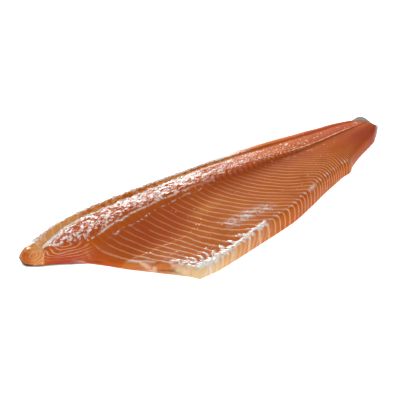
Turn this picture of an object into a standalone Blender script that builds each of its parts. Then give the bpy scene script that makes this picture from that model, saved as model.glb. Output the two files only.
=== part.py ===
import bmesh
import bpy
import numpy as np

# A raw salmon trout fillet lying on its skin with the flesh side up, in metres.
# +X runs from the head end to the tail, -Y is the belly, +Y is the back and +Z is up.
# The origin is under the middle of the fillet.
#
# A place on the fillet is given by two shares: s runs from the head cut (0) to the
# tail cut (1), and v runs from the belly edge (0) to the back edge (1).
# The tables below are in millimetres. X is counted from the foremost point of the head end.

MM = 0.001
LENGTH = 400 * MM                 # foremost point of the flesh to its tail cut
SKIN_THICKNESS = 0.9 * MM
GAP = 0.4 * MM                    # clearance between the skin and the flesh
RIM = 1.0 * MM                    # thickness of the flesh right at its edge

# Outline, seen from above: Y of the long edges by X, and X of the cut ends by v
BELLY_EDGE = {0: -60, 50: -61, 85: -64, 108: -67, 160: -66, 205: -64.5, 242: -58.5, 268: -53, 310: -45.5,
              350: -34, 380: -27, 402: -20}
BACK_EDGE = {0: 68, 20: 72, 50: 71.5, 85: 66.5, 140: 57.5, 210: 48, 288: 37.5, 364: 21, 402: 8}
HEAD_CUT = {0: 85, 0.15: 77, 0.3: 64, 0.45: 51, 0.58: 44, 0.66: 34, 0.75: 21, 0.86: 6, 0.93: 0, 1: 3}
TAIL_CUT = {0: 385, 0.05: 394, 0.14: 400, 0.3: 400, 0.6: 398, 1: 391}

# A stump of the anal fin on the belly edge, and the uneven front of the belly flap
FIN_STUMP = {"x": 317, "reach": 3, "half_length": 5, "root_v": 0.15}
FLAP_FRAYS = {"depth": 1.1, "last_v": 0.4, "count": 9}

# Lines that run along the flesh, as v by s
TRIM_LINE = {0: 0.405, 0.08: 0.375, 0.16: 0.36, 0.22: 0.38, 0.3: 0.50, 0.4: 0.54, 0.65: 0.5, 1: 0.4}
SPINE_LINE = {0: 0.65, 0.15: 0.688, 0.25: 0.707, 0.43: 0.685, 0.52: 0.655, 0.665: 0.60, 0.835: 0.53, 1: 0.485}
BACK_FURROW = {0: 0.82, 0.03: 0.868, 0.12: 0.893, 0.4: 0.893, 0.6: 0.875, 0.8: 0.82, 1: 0.78}

# Height of the flesh above the table along each line, by s
BELLY_RIDGE_HEIGHT = {0: 8.3, 0.12: 10.3, 0.3: 14.3, 0.5: 14.3, 0.75: 11.3, 1: 9.5}
FLAP_HEIGHT = {0: 8.3, 0.12: 10.3, 0.3: 15.3, 0.5: 15.8, 0.75: 13.3, 1: 11.5}
RIB_HEIGHT = {0: 7.3, 0.12: 10.3, 0.3: 16.3, 0.5: 17.8, 0.75: 14.8, 1: 12.2}
SPINE_FOOT_HEIGHT = {0: 13.3, 0.12: 17.8, 0.3: 20.5, 0.5: 19, 0.75: 15, 1: 12}
SPINE_HEIGHT = {0: 17.5, 0.12: 22.6, 0.3: 24.8, 0.5: 23.2, 0.75: 16.4, 1: 12.2}
LOIN_HEIGHT = {0: 19.8, 0.08: 23.5, 0.12: 24.4, 0.3: 26, 0.5: 24.4, 0.75: 17, 1: 11.5}
FURROW_HEIGHT = {0: 12.5, 0.05: 16, 0.12: 20.8, 0.3: 24, 0.5: 22.5, 0.75: 15.6, 1: 10.4}
DORSAL_STRIP_HEIGHT = {0: 13, 0.03: 15, 0.06: 19, 0.12: 23.3, 0.3: 26.6, 0.5: 24.4, 0.75: 16.6, 1: 10.4}
BACK_HEIGHT = {0: 10.5, 0.03: 12.8, 0.06: 17.2, 0.12: 21.9, 0.3: 25.2, 0.5: 23, 0.75: 15.4, 0.9: 11, 1: 9.8}

FLAP_V = 0.16                     # middle of the belly flap
RIB_SHARE = 0.55                  # lowest part of the rib hollow, from the flap to the spine
SPINE_STEP_V = {0: 0.045, 0.15: 0.05, 0.3: 0.045, 0.45: 0.025, 1: 0.02}    # width of the step below the spine
SHOULDER = {"share": 0.07, "rise": 0.65}    # the loin's shoulder, between the spine and its crest
LOIN_SHARE = 0.17                 # crest of the loin, from the spine to the furrow
BROW = {"share": 0.72, "rise": 0.5}         # the loin's back slope, between its crest and the furrow
STRIP_SHARE = 0.3                 # crest of the dorsal strip, from the furrow to the back
TRIM_STEP = 1.3 * MM              # the flap stands this much above the rib hollow
TRIM_STEP_V = 0.018
TRIM_FADE_S = 0.34                # the trim step has faded out here

# How far in from each edge the flesh rounds over, and the fullness of that rounding
BELLY_ROUND = 4.5 * MM
BACK_ROUND = 4.5 * MM
TAIL_ROUND = 3.5 * MM
HEAD_ROUND = {0: 4, 0.3: 5, 0.45: 8, 0.62: 14, 0.7: 17, 0.77: 13, 0.83: 6, 0.9: 5.5, 1: 7}    # by v
FULLNESS = 2.3

# The skin curls up under the back edge and at the tail, and shows a little past the flesh
BACK_LIFT = {0: 3, 0.12: 8, 0.3: 11, 0.5: 10.5, 0.8: 5.5, 1: 1.5}
BACK_CURL = 22 * MM
TAIL_LIFT = {0: 0, 0.1: 1.6, 0.2: 3, 0.36: 2.2, 0.5: 3.2, 0.7: 3.6, 1: 2.6}    # by v
TAIL_CURL = 7 * MM
SKIN_MARGIN = 0.5 * MM
SKIN_TAIL_MARGIN = 3.5 * MM

HEAD_SLANT = 0.85                 # cosine of the slant at which the head cut runs
HEAD_RUN = 9 * MM                 # stretch of closer rows behind the head cut
FLESH_ROWS = (7, 66, 5)           # steps along: head run, body, tail rounding
FLESH_COLUMNS = (4, 4, 1, 4, 1, 8, 2, 6)    # steps across, between the lines in flesh_grid
SKIN_ROWS = (44, 8)               # steps along: body, tail curl
SKIN_COLUMNS = (5, 6, 6)          # steps across: belly side, middle, curl under the back
SKIN_BELLY_SIDE_V = 0.3

FLESH_COLOUR = (0.62, 0.165, 0.055, 1)
SKIN_COLOUR = (0.33, 0.34, 0.31, 1)


def smooth_curve(knots, values, at):
    """Smooth curve that passes through the values without overshooting between them."""
    steps = np.diff(values, axis=0) / np.diff(knots, axis=0)
    before = steps[:-1]
    after = steps[1:]
    same_way = before * after > 0
    total = np.where(same_way, before + after, 1.0)
    inner = np.where(same_way, 2 * before * after / total, 0.0)
    slopes = np.concatenate([steps[:1], inner, steps[-1:]])
    result = np.array(values[0] + 0.0 * at)
    for low in range(len(knots) - 1):
        width = knots[low + 1] - knots[low]
        t = np.clip((at - knots[low]) / width, 0, 1)
        rise = (3 - 2 * t) * t * t
        bend = t * (1 - t) * width * (slopes[low] * (1 - t) - slopes[low + 1] * t)
        reading = values[low] + (values[low + 1] - values[low]) * rise + bend
        result = np.where(at >= knots[low], reading, result)
    return result


def read_table(table, at):
    """Value of one of the tables at each place in the array."""
    at = np.asarray(at, dtype=float)
    ones = np.ones((1,) * at.ndim)
    knots = np.array([key * ones for key in table])
    values = np.array([value * ones for value in table.values()])
    return smooth_curve(knots, values, at)


def long_edges(x):
    """Y of the belly edge, without its fin stump, and of the back edge at X."""
    return read_table(BELLY_EDGE, x / MM) * MM, read_table(BACK_EDGE, x / MM) * MM


def stump_reach(x, v):
    """How far the fin stump pushes a place outwards: most at the belly edge, nothing past its root."""
    along = np.exp(-(((x / MM - FIN_STUMP["x"]) / FIN_STUMP["half_length"]) ** 2))
    return FIN_STUMP["reach"] * MM * along * np.clip(1 - v / FIN_STUMP["root_v"], 0, 1) ** 2


def cut_ends(v):
    """X of the head cut, frayed where the belly flap ends, and of the tail cut."""
    share = np.clip(v / FLAP_FRAYS["last_v"], 0, 1)
    turn = 2 * FLAP_FRAYS["count"] * share
    frays = FLAP_FRAYS["depth"] * np.sin(np.pi * share) * (np.sin(turn) + 0.6 * np.sin(2.65 * turn))
    return (read_table(HEAD_CUT, v) + frays) * MM, read_table(TAIL_CUT, v) * MM


def plan_place(s, v):
    """X and Y of a place on the fillet, with X counted from the head end."""
    head, tail = cut_ends(v)
    x = head + s * (tail - head)
    belly, back = long_edges(x)
    return x, belly + v * (back - belly) - stump_reach(x, v)


def edge_distances(s, v):
    """Distances in from the head cut, the tail cut, the belly edge and the back edge."""
    head, tail = cut_ends(v)
    run = tail - head
    x = head + s * run
    belly, back = long_edges(x)
    width = back - belly
    from_belly = v * width + stump_reach(x, 0) - stump_reach(x, v)
    return s * run * HEAD_SLANT, (1 - s) * run, from_belly, (1 - v) * width


def rounding(distance, width):
    """Rise from 0 at an edge to 1 at the given width inside it, as a full quarter round."""
    t = np.clip(distance / width, 0, 1)
    return (1 - (1 - t) ** FULLNESS) ** (1 / FULLNESS)


def skin_underside(s, v):
    """Height of the skin's underside, and its steepness as length of slope over length of plan."""
    _, from_tail, _, from_back = edge_distances(s, v)
    back = np.clip(1 - from_back / BACK_CURL, 0, None)
    tail = np.clip(1 - from_tail / TAIL_CURL, 0, None)
    back_lift = read_table(BACK_LIFT, s) * MM
    tail_lift = read_table(TAIL_LIFT, np.clip(v, 0, 1)) * MM
    height = back_lift * back**2 + tail_lift * tail**2
    slope = np.hypot(2 * back_lift * back / BACK_CURL, 2 * tail_lift * tail / TAIL_CURL)
    return height, np.hypot(1, slope)


def flesh_underside(s, v):
    """Height of the flesh where it lies on the skin."""
    height, steepness = skin_underside(s, v)
    return height + GAP + SKIN_THICKNESS * steepness


def cross_section(s, v):
    """Height of the flesh above the table, carried smoothly across the lines along it."""
    spine = read_table(SPINE_LINE, s)
    furrow = read_table(BACK_FURROW, s)
    foot = spine - read_table(SPINE_STEP_V, s)
    loin_width = furrow - spine
    spine_height = read_table(SPINE_HEIGHT, s)
    loin_height = read_table(LOIN_HEIGHT, s)
    furrow_height = read_table(FURROW_HEIGHT, s)
    shoulder_height = spine_height + SHOULDER["rise"] * (loin_height - spine_height)
    brow_height = furrow_height + BROW["rise"] * (loin_height - furrow_height)
    lines = (
        (np.zeros_like(s), read_table(BELLY_RIDGE_HEIGHT, s)),
        (np.full_like(s, FLAP_V), read_table(FLAP_HEIGHT, s)),
        (FLAP_V + RIB_SHARE * (foot - FLAP_V), read_table(RIB_HEIGHT, s)),
        (foot, read_table(SPINE_FOOT_HEIGHT, s)),
        (spine, spine_height),
        (spine + SHOULDER["share"] * loin_width, shoulder_height),
        (spine + LOIN_SHARE * loin_width, loin_height),
        (spine + BROW["share"] * loin_width, brow_height),
        (furrow, furrow_height),
        (furrow + STRIP_SHARE * (1 - furrow), read_table(DORSAL_STRIP_HEIGHT, s)),
        (np.ones_like(s), read_table(BACK_HEIGHT, s)),
    )
    places = np.array([place for place, _ in lines])
    heights = np.array([height for _, height in lines])
    return smooth_curve(places, heights, v) * MM


def flesh_top(s, v):
    """Height of the flesh side, rounded over at all four edges."""
    on_flap = np.clip((read_table(TRIM_LINE, s) - v) / TRIM_STEP_V + 0.5, 0, 1)
    height = cross_section(s, v) + TRIM_STEP * on_flap * np.clip(1 - s / TRIM_FADE_S, 0, 1)
    edge = flesh_underside(s, v) + RIM
    widths = (read_table(HEAD_ROUND, v) * MM, TAIL_ROUND, BELLY_ROUND, BACK_ROUND)
    fullness = 1
    for distance, width in zip(edge_distances(s, v), widths):
        fullness = fullness * rounding(distance, width)
    return edge + (height - edge) * fullness


def spread(counts, stops, crowd_ends):
    """Places along a grid's side, with counts[i] steps from stops[i] to stops[i + 1].
    The steps of the first and the last stretch can crowd towards the side's ends."""
    places = [stops[0]]
    for index, count in enumerate(counts):
        share = np.arange(1, count + 1) / count
        if crowd_ends and index == 0:
            share = 1 - np.cos(share * np.pi / 2)
        if crowd_ends and index == len(counts) - 1:
            share = np.sin(share * np.pi / 2)
        places += [stops[index] + step * (stops[index + 1] - stops[index]) for step in share]
    return np.array(places)


def flesh_grid():
    """Shares s and v of the flesh's points, with columns on the trim, spine and furrow lines."""
    s = spread(FLESH_ROWS, (0.0, HEAD_RUN / LENGTH, 1 - TAIL_ROUND / LENGTH, 1.0), True)
    belly, back = long_edges(plan_place(s, np.full_like(s, 0.5))[0])
    trim = read_table(TRIM_LINE, s)
    spine = read_table(SPINE_LINE, s)
    furrow = read_table(BACK_FURROW, s)
    stops = (
        np.zeros_like(s),
        BELLY_ROUND / (back - belly),
        trim - TRIM_STEP_V / 2,
        trim + TRIM_STEP_V / 2,
        spine - read_table(SPINE_STEP_V, s),
        spine,
        furrow,
        furrow + STRIP_SHARE * (1 - furrow),
        np.ones_like(s),
    )
    v = spread(FLESH_COLUMNS, stops, True).T
    return np.repeat(s[:, None], v.shape[1], axis=1), v


def skin_grid():
    """Shares s and v of the skin's points, which run a little past the flesh."""
    ends = (-SKIN_MARGIN / LENGTH, 1 - TAIL_CURL / LENGTH, 1 + SKIN_TAIL_MARGIN / LENGTH)
    s = spread(SKIN_ROWS, ends, False)
    belly, back = long_edges(plan_place(s, np.full_like(s, 0.5))[0])
    side = SKIN_MARGIN / (back - belly)
    stops = (-side, np.full_like(s, SKIN_BELLY_SIDE_V), 1 - BACK_CURL / (back - belly), 1 + side)
    v = spread(SKIN_COLUMNS, stops, False).T
    return np.repeat(s[:, None], v.shape[1], axis=1), v


def centred(s, v, height):
    """Points at the given shares and heights, with the skin's middle over the origin."""
    x, y = plan_place(s, v)
    skin_x, skin_y = plan_place(*skin_grid())
    middle_x = (skin_x.min() + skin_x.max()) / 2
    middle_y = (skin_y.min() + skin_y.max()) / 2
    return np.stack([x - middle_x, y - middle_y, height], axis=-1)


def counting_grid(rows, columns):
    """A flat grid of faces whose points lie at whole numbers: X is the row, Y the column."""
    mesh = bmesh.new()
    bmesh.ops.create_grid(mesh, x_segments=rows, y_segments=columns, size=0.5)
    for vert in mesh.verts:
        vert.co.x = round((vert.co.x + 0.5) * rows)
        vert.co.y = round((vert.co.y + 0.5) * columns)
    return mesh


def shape(mesh, levels):
    """Moves each point of a counting grid to its place in levels[Z][X][Y]."""
    for vert in mesh.verts:
        vert.co = levels[round(vert.co.z)][round(vert.co.x)][round(vert.co.y)]


def add_object(name, mesh, material, collection):
    """Turns a bmesh into a smooth object in the collection."""
    data = bpy.data.meshes.new(name)
    mesh.to_mesh(data)
    mesh.free()
    data.materials.append(material)
    data.shade_smooth()
    thing = bpy.data.objects.new(name, data)
    collection.objects.link(thing)
    return thing


def make_material(name, colour, roughness):
    """A plain food surface of one colour."""
    material = bpy.data.materials.new(name)
    material.use_nodes = True
    shader = material.node_tree.nodes["Principled BSDF"]
    shader.inputs["Base Color"].default_value = colour
    shader.inputs["Roughness"].default_value = roughness
    shader.inputs["Metallic"].default_value = 0.0
    return material


def make_flesh(collection):
    """The flesh: a grid on the skin, extruded and drawn up to its rounded top."""
    s, v = flesh_grid()
    mesh = counting_grid(s.shape[0] - 1, s.shape[1] - 1)
    grown = bmesh.ops.extrude_face_region(mesh, geom=mesh.faces[:])
    for item in grown["geom"]:
        if isinstance(item, bmesh.types.BMVert):
            item.co.z = 1
    bmesh.ops.recalc_face_normals(mesh, faces=mesh.faces)
    shape(mesh, (centred(s, v, flesh_underside(s, v)), centred(s, v, flesh_top(s, v))))
    return add_object("flesh", mesh, make_material("flesh", FLESH_COLOUR, 0.35), collection)


def make_skin(collection):
    """The skin: an open sheet along its underside, thickened upwards."""
    s, v = skin_grid()
    mesh = counting_grid(s.shape[0] - 1, s.shape[1] - 1)
    shape(mesh, (centred(s, v, skin_underside(s, v)[0]),))
    skin = add_object("skin", mesh, make_material("skin", SKIN_COLOUR, 0.3), collection)
    wall = skin.modifiers.new("thickness", "SOLIDIFY")
    wall.thickness = SKIN_THICKNESS
    wall.offset = 1
    return skin


def main():
    for thing in list(bpy.data.objects):
        bpy.data.objects.remove(thing, do_unlink=True)
    collection = bpy.data.collections.new("Salmon trout fillet")
    bpy.context.scene.collection.children.link(collection)
    make_flesh(collection)
    make_skin(collection)


main()
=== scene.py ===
from types import SimpleNamespace

import bpy
import numpy as np
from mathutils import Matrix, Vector


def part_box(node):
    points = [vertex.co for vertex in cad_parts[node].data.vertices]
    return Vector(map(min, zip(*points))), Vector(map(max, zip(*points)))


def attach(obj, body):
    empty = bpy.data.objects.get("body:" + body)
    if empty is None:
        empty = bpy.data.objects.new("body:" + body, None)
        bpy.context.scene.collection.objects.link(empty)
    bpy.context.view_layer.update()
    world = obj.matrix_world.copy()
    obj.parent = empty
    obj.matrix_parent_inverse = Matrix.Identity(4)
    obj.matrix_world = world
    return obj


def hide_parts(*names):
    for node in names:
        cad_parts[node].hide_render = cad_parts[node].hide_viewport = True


# A raw salmon trout fillet on its skin, flesh side up: fleshMeat over skinSheet.
# A place on it is two shares: s from the head cut (0) to the tail cut (1), and v from the belly
# edge (0) to the back edge (1). Lengths are in millimetres, and X is counted from the head tip.

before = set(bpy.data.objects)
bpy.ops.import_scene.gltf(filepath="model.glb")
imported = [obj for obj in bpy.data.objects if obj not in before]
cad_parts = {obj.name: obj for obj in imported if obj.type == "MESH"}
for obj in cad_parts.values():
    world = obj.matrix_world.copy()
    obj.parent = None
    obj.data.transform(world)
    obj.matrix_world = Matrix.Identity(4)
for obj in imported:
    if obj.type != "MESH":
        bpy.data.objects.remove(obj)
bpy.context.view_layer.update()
mm = 0.001
print("Frame loaded")

viewpoint = {
    "azimuth": -47.75,
    "elevation": 30,
    "distance": 1.2,
    "target": (-0.0186, 0.0224, 0),
    "lens": 117.63,
}

outline = {
    "bellyEdge": {0: -60, 50: -61, 85: -64, 108: -67, 160: -66, 205: -64.5, 242: -58.5, 268: -53, 310: -45.5,
                  350: -34, 380: -27, 402: -20},
    "backEdge": {0: 68, 20: 72, 50: 71.5, 85: 66.5, 140: 57.5, 210: 48, 288: 37.5, 364: 21, 402: 8},
    "headCut": {0: 85, 0.15: 77, 0.3: 64, 0.45: 51, 0.58: 44, 0.66: 34, 0.75: 21, 0.86: 6, 0.93: 0, 1: 3},
    "tailCut": {0: 385, 0.05: 394, 0.14: 400, 0.3: 400, 0.6: 398, 1: 391},
    "finStump": {"x": 317, "reach": 2.4, "halfLength": 8, "rootV": 0.15},
    "flapFrays": {"depth": 1.1, "lastV": 0.4, "count": 9},
    "headSlant": 0.85,
}

# Lines along the flesh as v by s, and the flesh's height above the table along each, by s
lines = {
    "trim": {0: 0.405, 0.08: 0.375, 0.16: 0.36, 0.22: 0.38, 0.3: 0.5, 0.4: 0.54, 0.65: 0.5, 1: 0.4},
    "spine": {0: 0.65, 0.15: 0.688, 0.25: 0.707, 0.43: 0.685, 0.52: 0.655, 0.665: 0.6, 0.835: 0.53, 1: 0.485},
    "furrow": {0: 0.82, 0.03: 0.868, 0.12: 0.893, 0.4: 0.893, 0.6: 0.875, 0.8: 0.82, 1: 0.78},
    "flapV": 0.16,
    "ribShare": 0.55,
    "spineStepV": {0: 0.045, 0.15: 0.05, 0.3: 0.045, 0.45: 0.025, 1: 0.02},
    "stripShare": 0.3,
    "loinShare": 0.17,
    "shoulder": {"share": 0.07, "rise": 0.65},
    "brow": {"share": 0.72, "rise": 0.5},
}
heights = {
    "bellyRidge": {0: 8.3, 0.12: 10.3, 0.3: 14.3, 0.5: 14.3, 0.75: 11.3, 1: 9.5},
    "flap": {0: 8.3, 0.12: 10.3, 0.3: 15.3, 0.5: 15.8, 0.75: 13.3, 1: 11.5},
    "rib": {0: 7.3, 0.12: 10.3, 0.3: 16.3, 0.5: 17.8, 0.75: 14.8, 1: 12.2},
    "spineFoot": {0: 13.3, 0.12: 17.8, 0.3: 20.5, 0.5: 19, 0.75: 15, 1: 12},
    "spine": {0: 17.5, 0.12: 22.6, 0.3: 24.8, 0.5: 23.2, 0.75: 16.4, 1: 12.2},
    "loin": {0: 19.8, 0.08: 23.5, 0.12: 24.4, 0.3: 26, 0.5: 24.4, 0.75: 17, 1: 11.5},
    "furrow": {0: 12.5, 0.05: 16, 0.12: 20.8, 0.3: 24, 0.5: 22.5, 0.75: 15.6, 1: 10.4},
    "strip": {0: 13, 0.03: 15, 0.06: 19, 0.12: 23.3, 0.3: 26.6, 0.5: 24.4, 0.75: 16.6, 1: 10.4},
    "back": {0: 10.5, 0.03: 12.8, 0.06: 17.2, 0.12: 21.9, 0.3: 25.2, 0.5: 23, 0.75: 15.4, 0.9: 11, 1: 9.8},
    "trimStep": 0.5,
    "trimStepV": 0.018,
    "trimFadeS": 0.34,
    "rim": 1,
    "headRound": {0: 4, 0.3: 5, 0.45: 8, 0.62: 14, 0.7: 17, 0.77: 13, 0.83: 6, 0.9: 5.5, 1: 7},
    "tailRound": 3.5,
    "bellyRound": 4.5,
    "backRound": 4.5,
    "fullness": 2.3,
}
skinForm = {
    "thickness": 0.9,
    "gap": 0.4,
    "backLift": {0: 3, 0.12: 8, 0.3: 11, 0.5: 10.5, 0.8: 5.5, 1: 1.5},
    "backCurl": 22,
    "tailLift": {0: 0, 0.1: 1.6, 0.2: 3, 0.36: 2.2, 0.5: 3.2, 0.7: 3.6, 1: 2.6},
    "tailCurl": 7,
    "headMargin": {0: -1.3, 0.6: -1.3, 0.72: 0.3, 0.9: 0.8, 1: 0.6},
    "bellyMargin": -1.3,
    "backMargin": {0: 0.5, 0.9: 0.5, 0.97: 1.2, 1: 1.8},
    "tailMargin": {0: 0.5, 0.06: 2.5, 0.15: 4.5, 0.4: 4.5, 0.85: 5, 1: 2.5},
    "lipRise": {0: 0.2, 0.3: 0.25, 0.5: 0.4, 0.75: 0.55, 0.92: 0.5, 1: 0.3},
}

# The lines between muscle segments: their spacing, lean and turns, by X or by distance
muscle = {
    "spacing": {-60: 7.6, 150: 7.6, 190: 6.8, 230: 6.2, 300: 5.2, 420: 4.4},
    "anchor": 60.8,
    "lean": {0: 0.42, 60: 0.42, 110: 0.31, 150: 0.12, 190: 0.05, 230: 0.15, 265: 0.5, 300: 0.8,
             350: 1, 400: 1},
    "sweep": {0: 0, 60: 0, 110: 0, 150: 0.004, 190: 0.007, 240: 0.0075, 300: 0.006, 400: 0.004},
    "ridgeInset": {0: 15, 105: 15, 120: 11, 135: 7, 175: 3, 230: 4.5, 245: 6.5, 261: 9, 278: 12, 304: 16,
                   340: 20, 400: 20},
    "ridgeTurn": {0: -0.8, 115: -0.8, 150: -0.5, 400: -0.5},
    "backLean": 0.9,
    "waver": 0.7,
}


def smoothCurve(knots, values, at):
    # Piecewise cubic through the values. Each slope is the harmonic mean of the steps beside it,
    # or 0 where they change sign
    steps = np.diff(values, axis=0) / np.diff(knots, axis=0)
    before, after = steps[:-1], steps[1:]
    sameWay = before * after > 0
    total = np.where(sameWay, before + after, 1.0)
    inner = np.where(sameWay, 2 * before * after / total, 0.0)
    slopes = np.concatenate([steps[:1], inner, steps[-1:]])
    result = np.array(values[0] + 0 * at)
    for low in range(len(knots) - 1):
        width = knots[low + 1] - knots[low]
        t = unit((at - knots[low]) / width)
        rise = (3 - 2 * t) * t * t
        bend = t * (1 - t) * width * (slopes[low] * (1 - t) - slopes[low + 1] * t)
        reading = values[low] + (values[low + 1] - values[low]) * rise + bend
        result = np.where(at >= knots[low], reading, result)
    return result


def read(table, at):
    at = np.asarray(at, dtype=float)
    ones = np.ones((1,) * at.ndim)
    knots = np.array([key * ones for key in table])
    values = np.array([value * ones for value in table.values()])
    return smoothCurve(knots, values, at)


def unit(value):
    return np.clip(value, 0, 1)


def ramp(value, start, end):
    # 0 before start, 1 after end, a smooth S between
    t = unit((value - start) / (end - start))
    return t * t * (3 - 2 * t)


def fall(value, start, end):
    return 1 - ramp(value, start, end)


def band(value, low, high, soft):
    # 1 between low and high, fading to 0 over the soft width on either side
    return ramp(value, low - soft, low + soft) * fall(value, high - soft, high + soft)


def bump(value, middle, width):
    # Bell curve of height 1
    return np.exp(-(((value - middle) / width) ** 2))


def latticeValue(i, j, seed):
    # A fixed random number from -1 to 1 for each pair of whole numbers
    mixed = (i.astype(np.int64) * 374761393 + j.astype(np.int64) * 668265263 + seed * 974634777) & 0xFFFFFFFF
    mixed = ((mixed ^ (mixed >> 13)) * 1274126177) & 0xFFFFFFFF
    mixed = (mixed ^ (mixed >> 16)) & 0xFFFF
    return mixed / 32767.5 - 1


def softNoise(a, b, seed):
    # Random values at whole numbers of a and b, blended by an S curve between them
    i, j = np.floor(a), np.floor(b)
    fa, fb = a - i, b - j
    fa, fb = fa * fa * (3 - 2 * fa), fb * fb * (3 - 2 * fb)
    near = latticeValue(i, j, seed) * (1 - fa) + latticeValue(i + 1, j, seed) * fa
    far = latticeValue(i, j + 1, seed) * (1 - fa) + latticeValue(i + 1, j + 1, seed) * fa
    return near * (1 - fb) + far * fb


def noise(a, b, seed, layers=3):
    # Soft noises, each twice as fine and half as strong as the one before
    total = np.zeros(np.broadcast(a, b).shape)
    for layer in range(layers):
        scale = 2**layer
        total += softNoise(a * scale, b * scale, seed + layer) / scale
    return total


def cells(a, b, seed):
    # Nearest and second nearest of jittered centres, one in each unit square. Gives the distance
    # to the cell's border, the step from its centre, and two random numbers of the cell
    i, j = np.floor(a), np.floor(b)
    nearest = second = np.full(a.shape, 9.0)
    found = np.zeros((4, *a.shape))
    for ci, cj in [(i + di, j + dj) for di in (-1, 0, 1) for dj in (-1, 0, 1)]:
        jitterA, jitterB, first, other = (latticeValue(ci, cj, seed + step) for step in (0, 7, 13, 29))
        offA, offB = a - (ci + 0.5 + 0.42 * jitterA), b - (cj + 0.5 + 0.42 * jitterB)
        distance = np.hypot(offA, offB)
        closer = distance < nearest
        second = np.where(closer, nearest, np.minimum(second, distance))
        nearest = np.where(closer, distance, nearest)
        found = np.where(closer, [offA, offB, first, other], found)
    return second - nearest, *found


def longEdges(x):
    # Y of the belly edge, without its fin stump, and of the back edge at X
    return read(outline["bellyEdge"], x), read(outline["backEdge"], x)


def stumpReach(x, v):
    # The fin stump: a bell along the edge, times a parabola that ends at its root
    stump = outline["finStump"]
    root = unit(1 - v / stump["rootV"]) ** 2
    return stump["reach"] * bump(x, stump["x"], stump["halfLength"]) * root


def cutEnds(v):
    # X of the head cut, with two sine waves of frays on the flap, and of the tail cut
    frays = outline["flapFrays"]
    share = unit(v / frays["lastV"])
    turn = 2 * frays["count"] * share
    ragged = frays["depth"] * np.sin(np.pi * share) * (np.sin(turn) + 0.6 * np.sin(2.65 * turn))
    return read(outline["headCut"], v) + ragged, read(outline["tailCut"], v)


def planPlace(s, v):
    # X blends from head cut to tail cut by s, then Y from belly edge to back edge by v
    head, tail = cutEnds(v)
    x = head + s * (tail - head)
    belly, back = longEdges(x)
    return x, belly + v * (back - belly) - stumpReach(x, v)


def edgeDistances(s, v):
    # Distances in from the head cut, the tail cut, the belly edge and the back edge
    head, tail = cutEnds(v)
    run = tail - head
    x = head + s * run
    belly, back = longEdges(x)
    fromBelly = v * (back - belly) + stumpReach(x, 0) - stumpReach(x, v)
    return s * run * outline["headSlant"], (1 - s) * run, fromBelly, (1 - v) * (back - belly)


def rounding(distance, width):
    # Quarter of a superellipse: 0 at the edge, 1 at the given width inside it
    t = unit(distance / width)
    return (1 - (1 - t) ** heights["fullness"]) ** (1 / heights["fullness"])


def skinUnderside(s, v):
    # Flat, with parabolas rising to the back edge and the tail cut. Also the slope's steepness
    _, fromTail, _, fromBack = edgeDistances(s, v)
    back = np.clip(1 - fromBack / skinForm["backCurl"], 0, None)
    tail = np.clip(1 - fromTail / skinForm["tailCurl"], 0, None)
    backLift = read(skinForm["backLift"], s)
    tailLift = read(skinForm["tailLift"], unit(v))
    slope = np.hypot(2 * backLift * back / skinForm["backCurl"], 2 * tailLift * tail / skinForm["tailCurl"])
    return backLift * back**2 + tailLift * tail**2, np.hypot(1, slope)


def fleshUnderside(s, v):
    # The skin's underside plus the skin's upright thickness and the gap
    height, steepness = skinUnderside(s, v)
    return height + skinForm["gap"] + skinForm["thickness"] * steepness


def crossSection(s, v):
    # Height above the table: a smooth curve over v through the heights along eleven lines
    spine, furrow = read(lines["spine"], s), read(lines["furrow"], s)
    foot, width = spine - read(lines["spineStepV"], s), furrow - spine
    names = ("bellyRidge", "flap", "rib", "spineFoot", "spine", "loin", "furrow", "strip", "back")
    tops = (read(heights[name], s) for name in names)
    ridge, flap, rib, spineFoot, spineTop, loin, furrowTop, strip, back = tops
    shoulder, brow, flapV = lines["shoulder"], lines["brow"], lines["flapV"]
    stops = (
        (np.zeros_like(s), ridge),
        (np.full_like(s, flapV), flap),
        (flapV + lines["ribShare"] * (foot - flapV), rib),
        (foot, spineFoot),
        (spine, spineTop),
        (spine + shoulder["share"] * width, spineTop + shoulder["rise"] * (loin - spineTop)),
        (spine + lines["loinShare"] * width, loin),
        (spine + brow["share"] * width, furrowTop + brow["rise"] * (loin - furrowTop)),
        (furrow, furrowTop),
        (furrow + lines["stripShare"] * (1 - furrow), strip),
        (np.ones_like(s), back),
    )
    places, values = (np.array(side) for side in zip(*stops))
    return smoothCurve(places, values, v)


def trimLine(s):
    # The edge of the belly flap wanders by three soft noises
    return read(lines["trim"], s) + 0.008 * noise(s * 110, s * 0, 139, 3)


def fleshTop(s, v):
    # From the rim above the underside, the top rises to the cross-section by the product of a
    # quarter round from each of the four edges
    onFlap = unit((trimLine(s) - v) / heights["trimStepV"] + 0.5)
    fade = unit(1 - s / heights["trimFadeS"])
    height = crossSection(s, v) + heights["trimStep"] * onFlap * fade
    headWidth = read(heights["headRound"], v)
    widths = (headWidth, heights["tailRound"], heights["bellyRound"], heights["backRound"])
    fullness = 1
    for distance, width in zip(edgeDistances(s, v), widths):
        fullness *= rounding(distance, width)
    edge = fleshUnderside(s, v) + heights["rim"]
    return edge + (height - edge) * fullness


def segmentsTo(x):
    # Number of muscle segments up to X: the running sum of 1 / spacing
    steps = np.linspace(-60, 420, 2401)
    count = np.cumsum(1 / read(muscle["spacing"], steps)) * (steps[1] - steps[0])
    return np.interp(x, steps, count - np.interp(muscle["anchor"], steps, count))


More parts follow.
